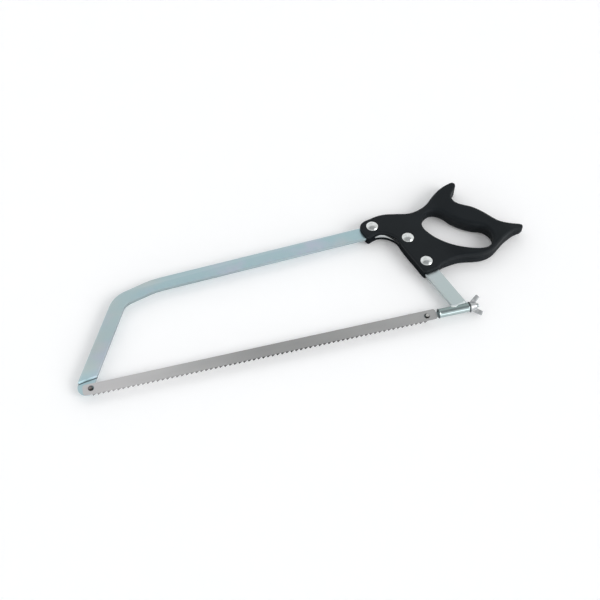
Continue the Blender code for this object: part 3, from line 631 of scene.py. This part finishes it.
def leg_weld():
    """A bead round the rear leg's foot. On the front face it starts on the sleeve and climbs the leg."""
    low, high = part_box("tension_sleeve")
    lift = math.sqrt(((high.z - low.z) / 2) ** 2 - BAR_HALF**2)
    foot = at(BOW_LINE[-1][0] - math.tan(LEG_LEAN) * lift, lift)
    half = BAR_WIDTH / 2 / math.cos(LEG_LEAN)
    places = []
    for start, end in zip(WELD_LINE, WELD_LINE[1:]):
        for k in range(WELD_RIPPLES):
            crest = at(*start).lerp(at(*end), k / WELD_RIPPLES)
            corner = Vector((crest.x, foot.y, FRONT_PIN.z + BAR_HALF))
            places.append((crest, len(places)))
            places.append((crest.lerp(corner, 0.6), len(places)))
    middle_lump = (WELD_BACK_LUMPS - 1) / 2
    for k in range(WELD_BACK_LUMPS):
        places.append((foot + Vector((half * (k / middle_lump - 1), 0.0, -BAR_HALF)), k))
    for side in (half, -half):
        for k in range(1, 4):
            places.append((foot + Vector((side, 0.2 * MM, BAR_HALF * (1 - k / 2))), k))
    lumps = []
    for place, k in places:
        radius = WELD_RADIUS * (1.0 + 0.08 * math.sin(2.1 * k))
        bpy.ops.object.select_all(action="DESELECT")
        bpy.ops.mesh.primitive_ico_sphere_add(subdivisions=2, radius=radius, location=place)
        lumps.append(bpy.context.object)
    bpy.ops.object.select_all(action="DESELECT")
    for lump in lumps:
        lump.select_set(True)
    bpy.context.view_layer.objects.active = lumps[0]
    bpy.ops.object.join()
    weld = bpy.context.object
    weld.name = "leg_weld"
    settle(weld)
    remesh(weld, 0.25 * MM)
    work(weld, "SMOOTH", factor=0.5, iterations=9)
    smooth(weld, 80.0)
    return weld


# Blade and its pins

def saw_blade():
    """The blade with its teeth set: bent out to one side and the other by turns."""
    blade = copy_of("blade", "saw_blade")
    root = at(0.0, -GULLET_DEPTH + 0.1 * MM)
    open_up(blade)
    bpy.ops.mesh.bisect(plane_co=root, plane_no=(-BLADE_SLOPE, 1.0, 0.0))
    for side in (0, 1):
        def tip(vert):
            place = vert.co - FRONT_PIN
            tooth = round((place.x - FIRST_TOOTH) / TOOTH_PITCH)
            below = BLADE_SLOPE * place.x - GULLET_DEPTH - place.y
            return below > 1.0 * MM and tooth % 2 == side
        choose(blade, "verts", tip)
        bpy.ops.transform.translate(value=(0.0, 0.0, TOOTH_SET * (1 - 2 * side)))
    close_up()
    work(blade, "BEVEL", width=0.08 * MM, segments=1, limit_method="ANGLE", angle_limit=math.radians(50.0))
    smooth(blade, 25.0, flats=True)
    return blade


def blade_pin(node, name):
    """A turned stud with a riveted foot and a chamfered, slightly crowned top."""
    low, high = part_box(node)
    foot = Vector((*middle(node).xy, 0.0))
    wide = (high.x - low.x) / 2
    shank = 2.75 * MM
    chamfer = 0.5 * MM
    base = low.z + 0.9 * MM
    profile = [
        (0.8 * MM, low.z + 0.15 * MM),
        (wide - 0.9 * MM, low.z),
        (wide - 0.3 * MM, low.z + 0.12 * MM),
        (wide, low.z + 0.45 * MM),
        (wide, base),
        (shank, base),
        (shank, high.z - chamfer),
        (shank - 0.15 * MM, high.z - 0.2 * MM),
        (shank - chamfer, high.z - 0.06 * MM),
        (1.2 * MM, high.z),
        (0.2 * MM, high.z),
    ]
    pin = turned(name, foot, Z_AXIS, profile, sides=48)
    smooth(pin, 28.0)
    return pin


# Tensioner

def ring_box(node):
    """A ring's foot on its axis along the saw, its outer radius and its length."""
    low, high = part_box(node)
    return Vector((low.x, *middle(node).yz)), (high.z - low.z) / 2, high.x - low.x


def spindle_sleeve():
    """The tube on the leg's foot, its mouth swaged to a narrow lip."""
    foot, outer, length = ring_box("tension_sleeve")
    bore = 4.25 * MM
    chamfer = 0.5 * MM
    lip = outer + 0.4 * MM
    profile = [
        (lip, 0.4 * MM),
        (lip, 0.9 * MM),
        (outer + 0.15 * MM, 1.4 * MM),
        (outer, 1.9 * MM),
        (outer, 2.4 * MM),
        (outer, length - 2 * chamfer),
        (outer, length - chamfer),
        (outer - 0.3 * chamfer, length - 0.3 * chamfer),
        (outer - chamfer, length),
        (bore + chamfer, length),
        (bore, length - chamfer),
        (bore, chamfer),
        (bore + chamfer, 0.0),
        (lip - 0.4 * MM, 0.0),
        (lip - 0.12 * MM, 0.12 * MM),
    ]
    sleeve = turned("spindle_sleeve", foot, X_AXIS, profile, hollow=True)
    smooth(sleeve, 32.0)
    return sleeve


def thrust_washer():
    foot, outer, length = ring_box("nut_washer")
    bore = 3.3 * MM
    burr = 0.3 * MM
    profile = [
        (outer, burr),
        (outer, length - burr),
        (outer - burr, length),
        (bore + burr, length),
        (bore, length - burr),
        (bore, burr),
        (bore + burr, 0.0),
        (outer - burr, 0.0),
    ]
    washer = turned("thrust_washer", foot, X_AXIS, profile, hollow=True)
    smooth(washer, 30.0)
    return washer


def spindle():
    """The forged spindle, its threaded end turned down to the core for a thread of its own."""
    made = copy_of("tension_spindle", "tension_rod")
    axis = Vector((0.0, FRONT_PIN.y, FRONT_PIN.z))
    thread = 3.0 * MM
    core = 2.45 * MM
    open_up(made)
    choose(made, "verts", lambda vert: abs((vert.co - axis).yz.length - thread) < 0.02 * MM)
    share = core / thread
    bpy.ops.transform.resize(value=(1.0, share, share), center_override=axis)
    close_up()
    work(made, "BEVEL", width=0.25 * MM, segments=2, limit_method="ANGLE", angle_limit=math.radians(40.0))
    smooth(made, 30.0, flats=True)
    return made


def spindle_thread():
    """A right-hand thread: one ridge wound along the spindle's end by a screw."""
    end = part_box("tension_spindle")[1].x
    turns = 19
    core = 2.52 * MM
    height = 0.45 * MM
    start = Vector((end - (turns + 1) * THREAD_PITCH, FRONT_PIN.y, FRONT_PIN.z))
    bpy.ops.object.select_all(action="DESELECT")
    bpy.ops.mesh.primitive_circle_add(vertices=4, radius=height, location=start)
    ridge = bpy.context.object
    ridge.name = "spindle_thread"
    bpy.ops.object.mode_set(mode="EDIT")
    bpy.ops.mesh.select_all(action="SELECT")
    bpy.ops.transform.translate(value=(0.0, core, 0.0))
    close_up()
    work(
        ridge,
        "SCREW",
        axis="X",
        screw_offset=THREAD_PITCH,
        iterations=turns,
        steps=32,
        render_steps=32,
        use_merge_vertices=False,
    )
    settle(ridge)
    open_up(ridge)
    bpy.ops.mesh.remove_doubles(threshold=0.001 * MM)
    choose(ridge, "edges", lambda edge: edge.is_boundary)
    bpy.ops.mesh.edge_face_add()
    bpy.ops.mesh.select_all(action="SELECT")
    bpy.ops.mesh.normals_make_consistent(inside=False)
    close_up()
    smooth(ridge, 40.0)
    return ridge


def soft_casting(node, name, voxel, passes):
    """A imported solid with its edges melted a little, as a casting or moulding comes out."""
    made = copy_of(node, name)
    remesh(made, voxel)
    work(made, "SMOOTH", factor=0.5, iterations=passes)
    smooth(made, 50.0)
    return made


# Handle screws

def dome_profile(crown, radius, rise, rim, side):
    """Rings from a head's seat over its rounded rim and dome to the crown, upwards or downwards."""
    sphere = (radius**2 + rise**2) / (2 * rise)
    low = crown - side * rise
    seat = low - side * rim
    soft = 0.1 * MM
    rings = [(radius - soft, seat), (radius, seat + side * soft), (radius, low - side * soft)]
    for share in (0.985, 0.94, 0.86, 0.75, 0.62, 0.48, 0.33, 0.18, 0.05):
        reach = radius * share
        rings.append((reach, low + side * (math.sqrt(sphere**2 - reach**2) - sphere + rise)))
    return rings, seat


def barrel_nut(node, name):
    low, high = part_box(node)
    foot = Vector((*middle(node).xy, 0.0))
    rings, seat = dome_profile(high.z, (high.x - low.x) / 2, HEAD_RISE, HEAD_RIM, 1.0)
    bore = 2.7 * MM
    barrel = 3.5 * MM
    profile = [(bore, FRONT_PIN.z + 3.8 * MM), (bore, low.z), (barrel, low.z), (barrel, seat)] + rings
    nut = turned(name, foot, Z_AXIS, profile)
    smooth(nut, 28.0)
    return nut


def binding_screw(node, name):
    """The screw from behind, with a straight slot sawn across its dome."""
    low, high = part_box(node)
    foot = Vector((*middle(node).xy, 0.0))
    rings, seat = dome_profile(low.z, (high.x - low.x) / 2, HEAD_RISE, HEAD_RIM, -1.0)
    shank = 2.4 * MM
    profile = [(shank - 0.4 * MM, high.z), (shank, high.z - 0.4 * MM), (shank, seat)] + rings
    screw = turned(name, foot, Z_AXIS, profile)
    slot = (24 * MM, 1.6 * MM, 2.4 * MM)
    bpy.ops.object.select_all(action="DESELECT")
    bpy.ops.mesh.primitive_cube_add(size=1.0, location=(*foot.xy, low.z + 0.2 * MM))
    saw = bpy.context.object
    bpy.ops.transform.resize(value=slot)
    settle(saw)
    work(screw, "BOOLEAN", operation="DIFFERENCE", object=saw, solver="EXACT")
    bpy.data.objects.remove(saw)
    smooth(screw, 28.0)
    return screw


# Stage

def floor_finish():
    """A pale floor: the camera and the metal see it near white, less the saw's own shadow."""
    made, shader, coords = finish("pale_floor", Roughness=0.9, Subsurface_Weight=0.1, Subsurface_Scale=0.08)
    shader.subsurface_method = "BURLEY"
    shader.inputs["Subsurface Radius"].default_value = (1.0, 1.0, 1.0)
    tree = made.node_tree
    clouds = noise(coords, 2.0, 2.0)
    connect(shader, Base_Color=blend(clouds, (0.985, 0.985, 0.99, 1.0), (0.995, 0.995, 1.0, 1.0)))
    rays = [
        coords.node("ShaderNodeLightPath", out=kind)
        for kind in ("Is Camera Ray", "Is Glossy Ray", "Is Transmission Ray")
    ]
    seen = rays[0] + rays[1] + rays[2]
    glow = seen.node("ShaderNodeEmission", links={"Color": (1.0, 1.0, 1.0, 1.0), "Strength": seen * 0.05})
    both = seen.node("ShaderNodeAddShader", links={0: Wire(tree, shader.outputs[0]), 1: glow})
    tree.links.new(both.socket, tree.nodes["Material Output"].inputs["Surface"])
    return made


def pale_floor():
    bpy.ops.object.select_all(action="DESELECT")
    bpy.ops.mesh.primitive_plane_add(size=8.0, location=(0.0, 0.0, -0.0002))
    floor = bpy.context.object
    floor.name = "pale_floor"
    floor.data.materials.append(floor_finish())


def studio_light():
    """A white room: a darker ceiling, a bright low strip in front and one soft lamp from the front right."""
    world = bpy.data.worlds.new("white_room")
    bpy.context.scene.world = world
    world.use_nodes = True
    tree = world.node_tree
    way = Wire(tree).node("ShaderNodeTexCoord", out="Generated")
    x, y, z = parts_of(way)
    right, back = ROOM_BACK
    up, forward = CEILING_WAY
    behind = x * right + y * back
    aside = x * back - y * right
    overhead = z * up - behind * forward + aside * aside * 0.35
    level = step(z, 0.0, 0.45, 1.11, 0.935) - step(overhead, 0.80, 0.95, 0.0, 0.55)
    strip = step(behind, -0.75, -0.45, 1.3, 0.0) * step(z, 0.22, 0.38, 1.0, 0.0)
    level = level + strip * step(aside, -0.25, 0.15)
    wall = tree.nodes["Background"]
    wall.inputs["Color"].default_value = (0.985, 0.995, 1.0, 1.0)
    tree.links.new(level.socket, wall.inputs["Strength"])
    lamp = bpy.data.lights.new("soft_panel", "SUN")
    lamp.energy = LAMP_ENERGY
    lamp.angle = LAMP_ANGLE
    panel = bpy.data.objects.new("soft_panel", lamp)
    bpy.context.scene.collection.objects.link(panel)
    panel.location = LAMP_PLACE
    panel.rotation_euler = (-panel.location).to_track_quat("-Z", "Y").to_euler()


def photo_camera():
    lens = bpy.data.cameras.new("photo_camera")
    lens.lens = CAMERA_LENS
    lens.sensor_width = 36.0
    lens.clip_start = 0.05
    camera = bpy.data.objects.new("photo_camera", lens)
    bpy.context.scene.collection.objects.link(camera)
    camera.location = at(*CAMERA_PLACE)
    aim = at(*CAMERA_AIM)
    camera.rotation_euler = (aim - camera.location).to_track_quat("-Z", "Y").to_euler()
    bpy.context.scene.camera = camera


def assemble():
    zinc = zinc_bar_finish()
    rod_zinc = zinc_spindle_finish()
    plastic = black_plastic_finish()
    nickel = nickel_finish()
    dark = turned_finish("dark_pin", FRONT_PIN, paint(152, 145, 142), paint(112, 107, 106), 0.34)
    bright = turned_finish("bright_pin", REAR_PIN, paint(214, 213, 210), paint(176, 175, 172), 0.26)
    cast = cast_zinc_finish("wing_nut_zinc", paint(196, 198, 199), paint(166, 169, 171), 1100.0)
    # The weld's near-white colours are a painted highlight on the bead
    bead_highlight = cast_zinc_finish("weld_highlight_zinc", paint(240, 244, 244), paint(214, 224, 225), 800.0)
    dress(bow_bar(), "frame", "zinc_bar", zinc, "bow_frame")
    dress(leg_weld(), "frame", "zinc_tube", bead_highlight)
    dress(saw_blade(), "blade", "blade_steel", blade_steel_finish(), "blade")
    dress(blade_pin("front_blade_pin", "front_stud"), "frame", "dark_pin", dark, "front_blade_pin")
    dress(blade_pin("rear_blade_pin", "rear_stud"), "spindle", "bright_pin", bright, "rear_blade_pin")
    dress(spindle_sleeve(), "frame", "zinc_tube", zinc_tube_finish(), "tension_sleeve")
    dress(thrust_washer(), "frame", "washer_steel", washer_finish(), "nut_washer")
    dress(spindle(), "spindle", "zinc_spindle", rod_zinc, "tension_spindle")
    dress(spindle_thread(), "spindle", "zinc_spindle", rod_zinc)
    wings = soft_casting("wing_nut", "cast_wing_nut", 0.28 * MM, 4)
    dress(wings, "wing_nut", "wing_nut_zinc", cast, "wing_nut")
    for side in ("front", "back"):
        node = f"handle_{side}_scale"
        scale = soft_casting(node, f"moulded_{side}_scale", 0.62 * MM, 3)
        dress(scale, "frame", "black_plastic", plastic, node)
    for place in ("nose", "bend", "heel"):
        nut = barrel_nut(f"{place}_barrel_nut", f"{place}_domed_nut")
        dress(nut, "frame", "nickel_plate", nickel, f"{place}_barrel_nut")
        screw = binding_screw(f"{place}_binding_screw", f"{place}_slotted_screw")
        dress(screw, "frame", "nickel_plate", nickel, f"{place}_binding_screw")


assemble()
pale_floor()
studio_light()
photo_camera()
bpy.context.scene.view_settings.view_transform = "Standard"
